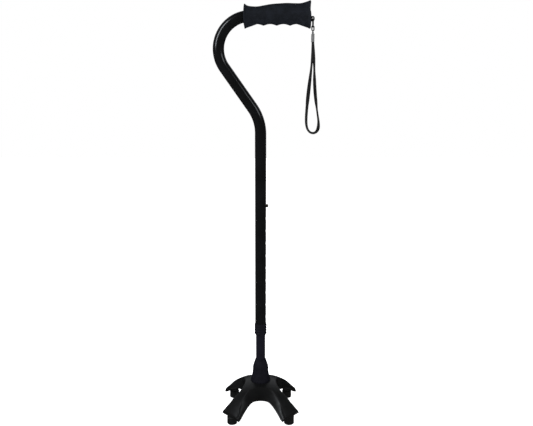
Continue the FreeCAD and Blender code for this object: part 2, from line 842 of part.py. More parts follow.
def foot_studs():
    """The steel studs moulded into the leg ends."""
    studs = [round_bar(size("stud_r"), DISC_TOP, size("stud_top"), x, y) for _, x, y in legs()]
    shaped("foot_studs", Part.makeCompound(studs))


def foot_washers():
    """The steel discs inside the rubber tips, under the studs."""
    discs = [round_bar(DISC_R - 0.02, DISC_LOW, DISC_TOP, x, y) for _, x, y in legs()]
    shaped("foot_washers", Part.makeCompound(discs))


upper_tube()
hand_grip()
grip_end_plug()
split_ring()
swivel_eye()
strap_crimp()
wrist_strap()
inner_tube()
tube_bush()
snap_button()
button_spring()
locking_collar()
split_bush()
boot()
quad_base()
tube_insert()
hub_bolt()
hub_washer()
feet()
foot_studs()
foot_washers()

doc.recompute()
for thing in doc.Objects:
    if any(state in ("Invalid", "Error") for state in thing.State):
        raise RuntimeError(f"{thing.Name} failed: {thing.State}")
for piece in pieces:
    if piece.Shape.isNull() or not piece.Shape.isValid():
        raise RuntimeError(f"{piece.Label} has no valid shape")

os.makedirs("parts", exist_ok=True)
for piece in pieces:
    piece.Shape.exportStep(f"parts/{piece.Label}.step")
    box = piece.Shape.optimalBoundingBox(False, False)
    print(
        f"{piece.Label}: {len(piece.Shape.Solids)} solid, {piece.Shape.Volume:.0f} mm3,"
        f" x {box.XMin:.1f} {box.XMax:.1f}, y {box.YMin:.1f} {box.YMax:.1f}, z {box.ZMin:.1f} {box.ZMax:.1f}"
    )
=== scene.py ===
"""Looks of the quad walking cane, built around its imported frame.

Metres in Blender. The pieces are drawn in millimetres about the axis of the straight tube, and
`put` moves them onto the frame: +Z up, +X towards the tip of the handle.
"""

import math

import bmesh
import bpy
from mathutils import Matrix, Vector


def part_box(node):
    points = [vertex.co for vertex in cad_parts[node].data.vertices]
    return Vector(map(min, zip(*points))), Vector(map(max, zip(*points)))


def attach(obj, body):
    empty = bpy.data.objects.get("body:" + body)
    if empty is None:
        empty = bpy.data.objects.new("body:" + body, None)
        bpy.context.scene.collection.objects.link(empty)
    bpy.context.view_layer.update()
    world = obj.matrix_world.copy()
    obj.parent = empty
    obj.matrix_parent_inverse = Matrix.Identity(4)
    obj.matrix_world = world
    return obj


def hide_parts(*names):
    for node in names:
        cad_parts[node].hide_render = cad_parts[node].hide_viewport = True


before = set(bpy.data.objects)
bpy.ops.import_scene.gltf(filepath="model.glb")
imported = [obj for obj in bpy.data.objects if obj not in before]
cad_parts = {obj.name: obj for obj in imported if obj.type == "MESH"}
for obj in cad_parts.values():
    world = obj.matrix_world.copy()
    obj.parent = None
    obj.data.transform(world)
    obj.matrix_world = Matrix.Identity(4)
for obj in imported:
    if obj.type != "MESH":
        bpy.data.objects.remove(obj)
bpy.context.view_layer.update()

MM = 0.001
TAU = 2 * math.pi

# ---- places read from the frame

collar_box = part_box("locking_collar")
AXIS_X = (collar_box[0][0] + collar_box[1][0]) / 2


def span(node):
    """A node's lowest and highest corner in millimetres from the tube's axis."""
    low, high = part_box(node)
    shift = Vector((AXIS_X, 0, 0))
    return (Vector(low) - shift) / MM, (Vector(high) - shift) / MM


def put(point):
    """A point in millimetres from the tube's axis, in the frame's metres."""
    return Vector((point[0] * MM + AXIS_X, point[1] * MM, point[2] * MM))


def add_object(name, data):
    """A new object in the scene."""
    thing = bpy.data.objects.new(name, data)
    bpy.context.scene.collection.objects.link(thing)
    return thing


# ---- camera


def make_camera():
    """Stands in front of the cane, above the middle of its height, and looks slightly down."""
    distance, height, tilt = 1.200, 0.627, math.radians(8.45)
    data = bpy.data.cameras.new("camera")
    data.lens, data.sensor_width = 41.47, 36.0
    data.shift_x, data.shift_y = 0.0111, -0.0325
    data.clip_start = 0.01
    camera = add_object("camera", data)
    camera.location = (AXIS_X, -distance, height)
    camera.rotation_euler = (math.pi / 2 - tilt, 0, 0)
    bpy.context.scene.camera = camera


make_camera()

# ---- mesh helpers


def soften(profile, radius, steps=6, closed=False):
    """Rounds the corners of a polyline. radius is one number or one for each corner."""
    count = len(profile)
    radii = radius if isinstance(radius, (list, tuple)) else [radius] * count
    out = []
    for i, corner in enumerate(profile):
        corner = Vector(corner)
        if not closed and i in (0, count - 1) or radii[i] <= 0:
            out.append(corner)
            continue
        before, after = Vector(profile[i - 1]), Vector(profile[(i + 1) % count])
        back, on = before - corner, after - corner
        reach = min(radii[i], 0.45 * back.length, 0.45 * on.length)
        start, end = corner + back.normalized() * reach, corner + on.normalized() * reach
        for k in range(steps + 1):
            t = k / steps
            out.append(start.lerp(corner, t).lerp(corner.lerp(end, t), t))
    return out


def round_angles(count):
    """Angles spread evenly over a full turn."""
    return [TAU * i / count for i in range(count)]


def lathe(profile, centre=(0, 0), axis="z", steps=96):
    """Points and faces of a closed profile of (radius, height) turned about an axis."""
    points, faces = [], []
    count = len(profile)
    for a in round_angles(steps):
        c, s = math.cos(a), math.sin(a)
        for radius, along in profile:
            if axis == "z":
                points.append((centre[0] + radius * c, centre[1] + radius * s, along))
            else:
                points.append((along, centre[0] + radius * c, centre[1] + radius * s))
    for i in range(steps):
        for k in range(count):
            a, b = i * count + k, i * count + (k + 1) % count
            j = ((i + 1) % steps) * count
            faces.append((a, b, j + (k + 1) % count, j + k))
    return points, faces


def loft(rings, loop=False):
    """Points and faces through rings of equal length, joined in a loop or capped at both ends."""
    count = len(rings[0])
    points = [p for ring in rings for p in ring]
    faces = []
    for i in range(len(rings) - (0 if loop else 1)):
        j = (i + 1) % len(rings)
        for k in range(count):
            n = (k + 1) % count
            faces.append((i * count + k, i * count + n, j * count + n, j * count + k))
    if not loop:
        faces.append(tuple(reversed(range(count))))
        faces.append(tuple(range(len(points) - count, len(points))))
    return points, faces


def joined(*parts):
    """Several (points, faces) as one."""
    points, faces = [], []
    for more, sides in parts:
        faces += [tuple(i + len(points) for i in side) for side in sides]
        points += list(more)
    return points, faces


MERGE, TINY = 2e-6, 1e-7
SHARP = 35.0


def closed_mesh(name, shape):
    """A mesh of a (points, faces) shape in millimetres, its doubled points merged."""
    points, faces = shape
    mesh = bpy.data.meshes.new(name)
    mesh.from_pydata([put(p) for p in points], [], faces)
    work = bmesh.new()
    work.from_mesh(mesh)
    bmesh.ops.remove_doubles(work, verts=work.verts, dist=MERGE)
    bmesh.ops.dissolve_degenerate(work, edges=work.edges, dist=TINY)
    bmesh.ops.recalc_face_normals(work, faces=work.faces)
    work.to_mesh(mesh)
    work.free()
    return mesh


def build(name, shape, body, slot, material, replaces, sharp=SHARP):
    """Makes a piece of a shape, smooth but for edges sharper than an angle in degrees."""
    mesh = closed_mesh(name, shape)
    mesh.shade_smooth()
    mesh.set_sharp_from_angle(angle=math.radians(sharp))
    piece = add_object(name, mesh)
    piece.data.materials.append(material)
    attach(piece, body)
    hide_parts(*replaces)
    return piece


def drill(piece, cutters):
    """Cuts closed shapes out of a piece."""
    cutter = add_object("cutter", closed_mesh("cutter", joined(*cutters)))
    cut = piece.modifiers.new("cut", "BOOLEAN")
    cut.object, cut.operation, cut.solver = cutter, "DIFFERENCE", "EXACT"
    shown = piece.evaluated_get(bpy.context.evaluated_depsgraph_get())
    uncut, piece.data = piece.data, bpy.data.meshes.new_from_object(shown)
    piece.modifiers.clear()
    bpy.data.meshes.remove(uncut)
    bpy.data.objects.remove(cutter)
    piece.data.set_sharp_from_angle(angle=math.radians(SHARP))


def smooth_step(low, high, value):
    """From 0 at low to 1 at high, level at both ends."""
    t = min(1.0, max(0.0, (value - low) / (high - low)))
    return t * t * (3 - 2 * t)


def smooth_line(points):
    """A function through (x, value) points, a cubic with no overshoot between neighbours."""
    xs = [p[0] for p in points]
    ys = [p[1] for p in points]
    slopes = []
    for i in range(len(points)):
        a, b = max(i - 1, 0), min(i + 1, len(points) - 1)
        slopes.append((ys[b] - ys[a]) / (xs[b] - xs[a]))

    def value(x):
        x = min(max(x, xs[0]), xs[-1])
        i = max(k for k in range(len(xs) - 1) if xs[k] <= x)
        gap = xs[i + 1] - xs[i]
        t = (x - xs[i]) / gap
        rise = (2 * t**3 - 3 * t**2 + 1) * ys[i] + (3 * t**2 - 2 * t**3) * ys[i + 1]
        return rise + gap * ((t**3 - 2 * t**2 + t) * slopes[i] + (t**3 - t**2) * slopes[i + 1])

    return value


# ---- materials


RANGE_INPUTS = ("From Min", "From Max", "To Min", "To Max")


class Paint:
    """A node material: a Principled shader and short ways to add what feeds it."""

    def __init__(self, name):
        self.material = bpy.data.materials.new(name)
        self.material.use_nodes = True
        self.tree = self.material.node_tree
        self.shader = self.tree.nodes["Principled BSDF"]
        self.place = self.add("ShaderNodeTexCoord").outputs["Object"]

    def add(self, kind, **settings):
        """Adds a node. A setting is an input's name with _ for its spaces, or a property."""
        node = self.tree.nodes.new(kind)
        for key, value in settings.items():
            name = key.replace("_", " ")
            if name in node.inputs:
                self.feed(node.inputs[name], value)
            else:
                setattr(node, key, value)
        return node

    def feed(self, socket, value):
        if isinstance(value, bpy.types.NodeSocket):
            self.tree.links.new(value, socket)
        else:
            socket.default_value = value

    def set(self, **inputs):
        for key, value in inputs.items():
            self.feed(self.shader.inputs[key.replace("_", " ")], value)

    def noise(self, scale, detail=3.0, rough=0.5, at=None):
        at = self.place if at is None else at
        node = self.add("ShaderNodeTexNoise", Vector=at, Scale=scale, Detail=detail, Roughness=rough)
        return node.outputs["Fac"]

    def ramp(self, value, *limits):
        """Maps a value from low..high to out_low..out_high, the four limits."""
        node = self.add("ShaderNodeMapRange", Value=value)
        for key, number in zip(RANGE_INPUTS, limits):
            node.inputs[key].default_value = number
        return node.outputs["Result"]

    def mix(self, amount, first, second):
        """A colour between two, each a colour or a socket."""
        node = self.add("ShaderNodeMix", data_type="RGBA")
        self.feed(node.inputs[0], amount)
        self.feed(node.inputs[6], first)
        self.feed(node.inputs[7], second)
        return node.outputs[2]

    def maths(self, operation, *values):
        node = self.add("ShaderNodeMath", operation=operation)
        for socket, value in zip(node.inputs, values):
            self.feed(socket, value)
        return node.outputs[0]

    def bump(self, height, depth, strength=1.0, over=None):
        """Feeds the shader's normal with a height in metres times depth."""
        node = self.add("ShaderNodeBump", Height=height, Distance=depth, Strength=strength)
        if over is not None:
            self.tree.links.new(over, node.inputs["Normal"])
        self.feed(self.shader.inputs["Normal"], node.outputs["Normal"])
        return node.outputs["Normal"]

    def painted_edge_highlight(self, radius, amount):
        """From 0 on flat stretches to about amount on convex edges: the mask of a painted highlight along
        edges.
        """
        bevel = self.add("ShaderNodeBevel", Radius=radius, samples=6)
        geometry = self.add("ShaderNodeNewGeometry")
        dot = self.add("ShaderNodeVectorMath", operation="DOT_PRODUCT")
        self.feed(dot.inputs[0], bevel.outputs[0])
        self.feed(dot.inputs[1], geometry.outputs["Normal"])
        return self.ramp(dot.outputs["Value"], 1.0, 0.85, 0.0, amount)


def gray(level, tint=(1, 1, 1)):
    """A colour as dark as the level, tinted."""
    return (level * tint[0], level * tint[1], level * tint[2], 1)


def tube_paint(name, dark, light, rough_low, rough_high, specular, coat, peel):
    """Black enamel or anodising on a metal tube, with orange peel and rubbed streaks."""
    paint = Paint(name)
    cloud = paint.noise(35, 4, 0.6)
    streaks = paint.add("ShaderNodeMapping", Vector=paint.place, Scale=(900, 900, 14)).outputs[0]
    rubbed = paint.noise(1.0, 3, 0.6, at=streaks)
    paint.set(
        Base_Color=paint.mix(paint.ramp(cloud, 0.35, 0.7, 0, 1), dark, light),
        Roughness=paint.ramp(rubbed, 0.35, 0.75, rough_low, rough_high),
        Specular_IOR_Level=specular,
        Coat_Weight=coat,
        Coat_Roughness=0.12,
    )
    paint.bump(paint.noise(620, 2, 0.45), peel)
    return paint.material


def rubber_paint(name, dark, light, rough, grain_scale, grain_depth, specular=0.35):
    """Moulded rubber: a fine pebbled skin with dusty, slightly rubbed high spots."""
    paint = Paint(name)
    cells = paint.add("ShaderNodeTexVoronoi", Vector=paint.place, Scale=grain_scale, Randomness=1.0)
    dust = paint.noise(90, 5, 0.65)
    mottled = paint.mix(paint.ramp(dust, 0.4, 0.75, 0, 1), dark, light)
    grain = paint.ramp(cells.outputs["Distance"], 0.0, 0.9, 0.0, 1.0)
    fine = paint.noise(grain_scale * 2.4, 2, 0.5)
    paint.set(
        Base_Color=mottled,
        Roughness=paint.ramp(dust, 0.3, 0.8, rough - 0.08, rough + 0.08),
        Specular_IOR_Level=specular,
    )
    first = paint.bump(grain, grain_depth)
    paint.bump(fine, grain_depth * 0.5, over=first)
    return paint.material


def plastic_paint(name, dark, light, rough_low, rough_high, etch_scale, etch_depth, specular=0.5):
    """Injection-moulded plastic: a fine etched texture and soft cloudy gloss, its edges painted lighter as a
    highlight.
    """
    paint = Paint(name)
    cloud = paint.noise(28, 4, 0.55)
    flow = paint.noise(160, 3, 0.6)
    # the edges are painted lighter, towards a pale copy of the light colour: a painted highlight along them
    edge_highlight_mask = paint.painted_edge_highlight(0.0009, 0.5)
    colour = paint.mix(paint.ramp(cloud, 0.35, 0.7, 0, 1), dark, light)
    paint.set(
        Base_Color=paint.mix(edge_highlight_mask, colour, tuple(min(1, c * 2.2) for c in light[:3]) + (1,)),
        Roughness=paint.ramp(flow, 0.3, 0.75, rough_low, rough_high),
        Specular_IOR_Level=specular,
    )
    first = paint.bump(paint.noise(etch_scale, 3, 0.5), etch_depth)
    paint.bump(paint.noise(60, 2, 0.4), 0.00012, strength=0.35, over=first)
    return paint.material


def metal_paint(name, dark, light, rough_low, rough_high, grain=(1, 1, 1), tarnish=None, metallic=1.0):
    """Plated or bare metal with brushing along one direction and dull patches."""
    paint = Paint(name)
    brushed = paint.add("ShaderNodeMapping", Vector=paint.place, Scale=grain).outputs[0]
    lines = paint.noise(400, 3, 0.6, at=brushed)
    patches = paint.noise(240, 4, 0.6)
    colour = paint.mix(paint.ramp(patches, 0.35, 0.7, 0, 1), dark, light)
    if tarnish:
        colour = paint.mix(paint.ramp(paint.noise(700, 4, 0.7), 0.55, 0.8, 0, 0.7), colour, tarnish)
    paint.set(
        Base_Color=colour,
        Metallic=metallic,
        Roughness=paint.ramp(lines, 0.3, 0.75, rough_low, rough_high),
    )
    paint.bump(lines, 0.00001)
    return paint.material


def ribbon_paint(name, dark, light):
    """Woven nylon ribbon: diagonal twill from the strap's own UVs, with a firm woven edge."""
    paint = Paint(name)
    uv = paint.add("ShaderNodeTexCoord").outputs["UV"]
    place = paint.add("ShaderNodeSeparateXYZ", Vector=uv)
    along, across = place.outputs["X"], place.outputs["Y"]
    warp = paint.maths("SINE", paint.maths("MULTIPLY", across, TAU * 13))
    forward, sideways = paint.maths("MULTIPLY", along, TAU * 460), paint.maths("MULTIPLY", across, TAU * 5)
    weft = paint.maths("SINE", paint.maths("ADD", forward, sideways))
    weave = paint.maths("ADD", paint.maths("MULTIPLY", warp, 0.5), weft)
    lit = paint.ramp(weave, -1.4, 1.4, 0, 1)
    fuzz = paint.noise(2200, 4, 0.7)
    shade = paint.mix(lit, dark, light)
    paint.set(
        Base_Color=paint.mix(paint.ramp(fuzz, 0.45, 0.75, 0, 0.4), shade, gray(0.02)),
        Roughness=paint.ramp(fuzz, 0.3, 0.8, 0.6, 0.9),
        Sheen_Weight=0.06,
        Sheen_Roughness=0.4,
        Specular_IOR_Level=0.12,
    )
    first = paint.bump(lit, 0.00022)
    paint.bump(fuzz, 0.00008, over=first)
    return paint.material


BLUE_BLACK, VIOLET = (0.62, 0.8, 1.25), (0.78, 0.75, 1.3)

gloss_tube = tube_paint(
    "gloss_tube", gray(0.0028), gray(0.0042, (0.95, 1, 1.1)), 0.16, 0.27, 0.25, 0.16, 0.000012
)
satin_tube = tube_paint(
    "satin_tube", gray(0.006, VIOLET), gray(0.009, VIOLET), 0.34, 0.46, 0.07, 0.0, 0.000006
)
grip_rubber = rubber_paint(
    "grip_rubber", gray(0.006, BLUE_BLACK), gray(0.011, BLUE_BLACK), 0.7, 1500, 0.00012, 0.15
)
boot_rubber = rubber_paint("boot_rubber", gray(0.005, VIOLET), gray(0.008, VIOLET), 0.5, 2400, 0.00004, 0.12)
foot_rubber = rubber_paint("foot_rubber", gray(0.004), gray(0.008), 0.55, 1800, 0.0001, 0.3)
base_plastic = plastic_paint(
    "base_plastic", gray(0.003), gray(0.006, (1, 1, 1.05)), 0.3, 0.42, 1400, 0.00002, 0.22
)
collar_plastic = plastic_paint(
    "collar_plastic", gray(0.004), gray(0.008, VIOLET), 0.36, 0.5, 1600, 0.00002, 0.08
)
plug_plastic = plastic_paint("plug_plastic", gray(0.005), gray(0.009), 0.4, 0.55, 1500, 0.00003, 0.2)
nylon = plastic_paint(
    "nylon", gray(0.62, (1, 0.98, 0.92)), gray(0.74, (1, 0.98, 0.93)), 0.35, 0.5, 1200, 0.00002
)
ring_steel = metal_paint("ring_steel", gray(0.02), gray(0.05), 0.25, 0.4, (1, 1, 6), gray(0.015), 0.4)
crimp_metal = metal_paint("crimp_metal", gray(0.12), gray(0.19), 0.35, 0.5, (8, 8, 1), gray(0.07), 0.3)
BRASS_DARK, BRASS_LIGHT = gray(0.4, (1, 0.86, 0.62)), gray(0.56, (1, 0.9, 0.68))
button_metal = metal_paint(
    "button_metal", BRASS_DARK, BRASS_LIGHT, 0.22, 0.36, tarnish=gray(0.2, (1, 0.8, 0.6))
)
spring_steel = metal_paint("spring_steel", gray(0.2, (0.9, 0.95, 1.1)), gray(0.3), 0.25, 0.4, (1, 10, 1))
zinc_steel = metal_paint(
    "zinc_steel", gray(0.45), gray(0.6, (1, 1, 0.95)), 0.28, 0.45, (1, 1, 8), gray(0.3, (1, 0.95, 0.8))
)
strap_ribbon = ribbon_paint("strap_ribbon", gray(0.0025), gray(0.007))

# the CAD's own shapes that stay in sight, each in one material
KEPT = {
    "tube_bush": nylon,
    "split_bush": nylon,
    "button_spring": spring_steel,
    "tube_insert": zinc_steel,
    "hub_washer": zinc_steel,
    "foot_studs": zinc_steel,
    "foot_washers": zinc_steel,
}
for node, material in KEPT.items():
    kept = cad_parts[node]
    kept.data.materials.clear()
    kept.data.materials.append(material)

# ---- the strap and what it hangs from

ring_low, ring_high = span("split_ring")
HANG_X = (ring_low.x + ring_high.x) / 2
crimp_low, crimp_high = span("strap_crimp")
STRAP_WIDE, STRAP_THICK = 7.5, 1.3
# control points (x, z) from the clip down one side of the loop and up the other
STRAP_ROUTE = [(99.0, 752), (99.3, 713), (92.4, 653), (88.9, 614), (88.1, 592), (90.6, 579.5), (96.5, 572.6)]
STRAP_ROUTE += [(104.4, 571.4), (111.2, 576.8), (113.2, 591), (109.2, 615), (104.2, 655), (102.6, 708)]
STRAP_ROUTE += [(100.2, 752)]


def spline_points(route, resolution):
    """Points along the NURBS curve that has the route as its control points."""
    curve = bpy.data.curves.new("strap_line", "CURVE")
    curve.dimensions = "3D"
    curve.resolution_u = resolution
    spline = curve.splines.new("NURBS")
    spline.points.add(len(route) - 1)
    for point, (x, z) in zip(spline.points, route):
        point.co = (*put((x, 0, z)), 1)
    spline.order_u = 3
    spline.use_endpoint_u = True
    line = bpy.data.objects.new("strap_line", curve)
    mesh = bpy.data.meshes.new_from_object(line)
    points = [v.co.copy() for v in mesh.vertices]
    bpy.data.meshes.remove(mesh)
    bpy.data.objects.remove(line)
    return points


# degrees between the ribbon's face and the front, by the share of its length
STRAP_TURN = smooth_line(
    [(0, 16), (0.1, 22), (0.15, 22), (0.22, 48), (0.27, 60), (0.31, 58), (0.345, 38), (0.42, 32)]
    + [(0.475, 24), (0.51, 36), (0.54, 58), (0.575, 34), (0.64, 26), (0.69, 52), (0.78, 54), (0.84, 30)]
    + [(0.9, 42), (0.97, 24), (1, 16)]
)


def make_strap():
    """A flat ribbon that turns its face forward and back on its way round. Also returns its line."""
    line = spline_points(STRAP_ROUTE, 24)
    lengths = [0.0]
    for a, b in zip(line, line[1:]):
        lengths.append(lengths[-1] + (b - a).length)
    total = lengths[-1]
    half_w, half_t = STRAP_WIDE / 2 * MM, STRAP_THICK / 2 * MM
    edge, shoulder = 0.55, 0.93
    section = [(-1, -edge), (-shoulder, -1), (-0.5, -1), (0, -1), (0.5, -1), (shoulder, -1), (1, -edge)]
    section += [(x, -y) for x, y in reversed(section)]
    rings, uvs = [], []
    for i, (point, run) in enumerate(zip(line, lengths)):
        ahead, behind = line[min(i + 1, len(line) - 1)], line[max(i - 1, 0)]
        along = (ahead - behind).normalized()
        across = Vector((0, 1, 0))
        out = across.cross(along).normalized()
        turn = math.radians(STRAP_TURN(run / total))
        wide = across * math.cos(turn) + out * math.sin(turn)
        thick = wide.cross(along)
        rings.append([point + wide * (x * half_w) + thick * (y * half_t) for x, y in section])
        uvs.append(run / total)
    mesh = bpy.data.meshes.new("wrist_strap_ribbon")
    points, faces = loft(rings)
    mesh.from_pydata(points, [], faces)
    layer = mesh.uv_layers.new(name="along")
    count = len(section)
    for loop in mesh.loops:
        ring, corner = divmod(loop.vertex_index, count)
        layer.data[loop.index].uv = (uvs[ring], section[corner][0] * 0.5 + 0.5)
    mesh.shade_smooth()
    mesh.set_sharp_from_angle(angle=math.radians(50))
    strap = add_object("wrist_strap_ribbon", mesh)
    mesh.materials.append(strap_ribbon)
    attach(strap, "strap")
    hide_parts("wrist_strap")
    return strap, line


def make_crimp():
    """A clip folded from sheet: rounded corners, soft lips, two grooves round it, hollow from below."""
    top, low = crimp_high.z, crimp_low.z
    half_x = (crimp_high.x - crimp_low.x) / 2
    half_y = (crimp_high.y - crimp_low.y) / 2
    wall = 0.8

    def box_ring(z, inset, corner):
        outline = [(half_x - inset, half_y - inset), (inset - half_x, half_y - inset)]
        outline += [(inset - half_x, inset - half_y), (half_x - inset, inset - half_y)]
        ring = soften(outline, corner, steps=5, closed=True)
        return [(HANG_X + p[0], p[1], z) for p in ring]

    levels = [(top, 1.6, 0.9), (top, 0.9, 1.2), (top - 0.25, 0.35, 1.3), (top - 0.9, 0.0, 1.4)]
    for share in (0.2, 0.23, 0.26, 0.5, 0.74, 0.77, 0.8):
        levels.append((top - (top - low) * share, 0.3 if share in (0.23, 0.77) else 0.0, 1.4))
    levels += [(low + 0.5, 0.0, 1.4), (low, 0.25, 1.2), (low, wall, 0.9), (top - 1.2, wall, 0.9)]
    shape = loft([box_ring(*level) for level in levels])
    return build("strap_clip", shape, "strap", "crimp_metal", crimp_metal, ["strap_crimp"], sharp=45)


def tube_along(line, radius, sides=20):
    """Points and faces of a round wire along points in millimetres."""
    rings = []
    normal = None
    for i, middle in enumerate(line):
        along = (line[min(i + 1, len(line) - 1)] - line[max(i - 1, 0)]).normalized()
        if normal is None:
            normal = Vector((1, 0, 0)).cross(along).normalized()
        normal = (normal - along * normal.dot(along)).normalized()
        side = along.cross(normal)
        ring = []
        for a in round_angles(sides):
            ring.append(middle + normal * (radius * math.cos(a)) + side * (radius * math.sin(a)))
        rings.append(ring)
    return loft(rings)


def make_ring():
    """A split ring: two turns of round wire, the second stepped over to lie beside the first."""
    centre_z = (ring_low.z + ring_high.z) / 2
    wire = 0.62
    radius = (ring_high.z - ring_low.z) / 2 - wire - 0.12
    line = []
    steps = 150
    for i in range(steps + 1):
        share = i / steps
        angle = TAU * 2 * share - math.pi * 0.5
        step = smooth_step(0.44, 0.56, share) - 0.5
        y, z = radius * math.cos(angle), centre_z + radius * math.sin(angle)
        line.append(Vector((HANG_X + 0.9 * step, y, z)))
    shape = tube_along(line, wire)
    return build("split_ring_coil", shape, "ring", "ring_steel", ring_steel, ["split_ring"], sharp=50)


def make_eye():
    """The long link on the ring, its neck, its bead and the shank that turns in the clip."""
    low, high = span("swivel_eye")
    thick = 1.15
    half = (high.x - low.x) / 2 - thick
    top = high.z - thick - half
    bottom = top - 4.6
    section = soften([(-1, -0.95), (1, -0.95), (1, 0.95), (-1, 0.95)], 0.75, steps=4, closed=True)
    rings = []
    for centre, start in ((top, 0.0), (bottom, math.pi)):
        for i in range(25):
            angle = start + math.pi * i / 24
            out = Vector((math.cos(angle), 0, math.sin(angle)))
            middle = Vector((HANG_X, 0, centre)) + out * half
            rings.append([middle + out * (p[0] * thick) + Vector((0, p[1] * thick, 0)) for p in section])
    link = loft(rings, loop=True)
    clip_top = crimp_high.z
    bead = [(0, bottom - half), (1.15, bottom - half), (1.2, clip_top + 3.4), (1.8, clip_top + 2.7)]
    bead += [(1.8, clip_top + 1.3), (1.1, clip_top + 0.5), (1.1, low.z), (0, low.z)]
    neck = lathe(soften(bead, 0.6), centre=(HANG_X, 0), steps=40)
    shape = joined(link, neck)
    return build("swivel_eye_link", shape, "eye", "ring_steel", ring_steel, ["swivel_eye"], sharp=50)


strap, strap_line = make_strap()
crimp = make_crimp()
make_ring()
make_eye()

# ---- the upper half

tube_low, tube_high = span("upper_tube")
TUBE_R = (tube_high.y - tube_low.y) / 2
BORE_R = 9.6
LOW_BEND_R, TOP_BEND_R, LEAN, NECK_X = 86.5, 61.1, math.radians(35.2), -19.4
HANDLE_Z = tube_high.z - TUBE_R
HOLE_PITCH, HOLES, HOLE_R = 25.4, 10, 3.6
button_low, button_high = span("snap_button")
BUTTON_Z = (button_low.z + button_high.z) / 2


def neck_stations():
    """(x, z, heading, bend) down the tube's line: heading from +Z towards -X, bend from 0 to 1."""
    top_z = HANDLE_Z - TOP_BEND_R
    meet_x = NECK_X - math.cos(LEAN) * TOP_BEND_R
    meet_z = top_z - math.sin(LEAN) * TOP_BEND_R
    corner_z = meet_z + meet_x / math.tan(LEAN)
    tangent = LOW_BEND_R * math.tan(LEAN / 2)
    start_z = corner_z - tangent
    stations = []
    straight = 60
    for i in range(straight):
        stations.append((0, tube_low.z + (start_z - tube_low.z) * i / straight, 0, 0))
    steps = 24
    for i in range(steps):
        angle = LEAN * i / steps
        x, z = -LOW_BEND_R * (1 - math.cos(angle)), start_z + LOW_BEND_R * math.sin(angle)
        stations.append((x, z, angle, math.sin(math.pi * i / steps)))
    end_x, end_z = -LOW_BEND_R * (1 - math.cos(LEAN)), start_z + LOW_BEND_R * math.sin(LEAN)
    for i in range(10):
        share = i / 10
        stations.append((end_x + (meet_x - end_x) * share, end_z + (meet_z - end_z) * share, LEAN, 0))
    steps = 80
    for i in range(steps + 1):
        heading = LEAN - (LEAN + math.pi / 2) * i / steps
        x = NECK_X - TOP_BEND_R * math.cos(heading)
        z = top_z - TOP_BEND_R * math.sin(heading)
        stations.append((x, z, heading, math.sin(math.pi * i / steps) ** 0.5))
    stations.append((tube_high.x, HANDLE_Z, -math.pi / 2, 0))
    return stations


def swept(stations, radius, squeeze, sides=128):
    """Rings across the neck's line, squeezed in the plane of its bends."""
    rings = []
    for x, z, heading, bend in stations:
        across = Vector((math.cos(heading), 0, math.sin(heading)))
        flat = radius * (1 - squeeze * bend)
        wide = radius * (1 + 0.5 * squeeze * bend)
        ring = []
        for a in round_angles(sides):
            out = across * (flat * math.cos(a)) + Vector((0, wide * math.sin(a), 0))
            ring.append(Vector((x, 0, z)) + out)
        rings.append(ring)
    return rings


def hole_cutter(z, bore, mouth_r, mouth_x):
    """A drill along +X with a small chamfer where it meets the tube's skin."""
    start, end = 2, mouth_x + 5
    profile = [(0, start), (bore, start), (bore, mouth_x - 0.5), (mouth_r, mouth_x + 0.15)]
    return lathe(profile + [(mouth_r, end), (0, end)], centre=(0, z), axis="x", steps=48)


def make_upper_tube():
    """The outer tube as one bent, slightly flattened pipe with a row of chamfered holes."""
    stations = neck_stations()
    flattening = 0.02
    outer, inner = swept(stations, TUBE_R, flattening), swept(stations, BORE_R, flattening)
    shape = loft(outer + list(reversed(inner)), loop=True)
    tube = build("outer_tube", shape, "upper_cane", "gloss_tube", gloss_tube, ["upper_tube"])
    cutters = [hole_cutter(BUTTON_Z - i * HOLE_PITCH, HOLE_R, HOLE_R + 0.35, TUBE_R) for i in range(HOLES)]
    drill(tube, cutters)
    return tube


GRIP_START, GRIP_END = -32.5, 95.0


def grip_outline():
    """The handle's top and bottom lines and its half width, each a function of x."""
    top = smooth_line(
        [(-32.5, 815.8), (-29, 813.9), (-24, 811.4), (-16, 810.2), (-6, 810.0), (8, 812.4), (22, 814.6)]
        + [(36, 815.6), (50, 816.3), (64, 815.9), (74, 815.9), (82, 817.4), (89, 819.8), (95, 821.8)]
    )
    pitch, first, last = 25.2, -7.0, 68.6
    floor, cusp, drop, crisp = 777.9, 775.0, 9.0, 0.05

    def bottom(x):
        if x < first:
            return floor - drop * ((first - x) / (first - GRIP_START)) ** 0.95
        if x > last:
            return floor - drop * ((x - last) / (GRIP_END - last)) ** 1.12
        turn = math.cos(math.pi * (x - first) / pitch)
        return floor - (floor - cusp) * (1 - (math.sqrt(turn**2 + crisp**2) - crisp) / (1 - crisp))

    def half_y(x):
        share = (x - GRIP_START) / (GRIP_END - GRIP_START)
        flare = max(0.0, 1 - (x - GRIP_START) / 9, 1 - (GRIP_END - x) / 11)
        return 16.2 + 2.6 * flare**1.5 + 1.2 * math.sin(math.pi * share)

    return top, bottom, half_y


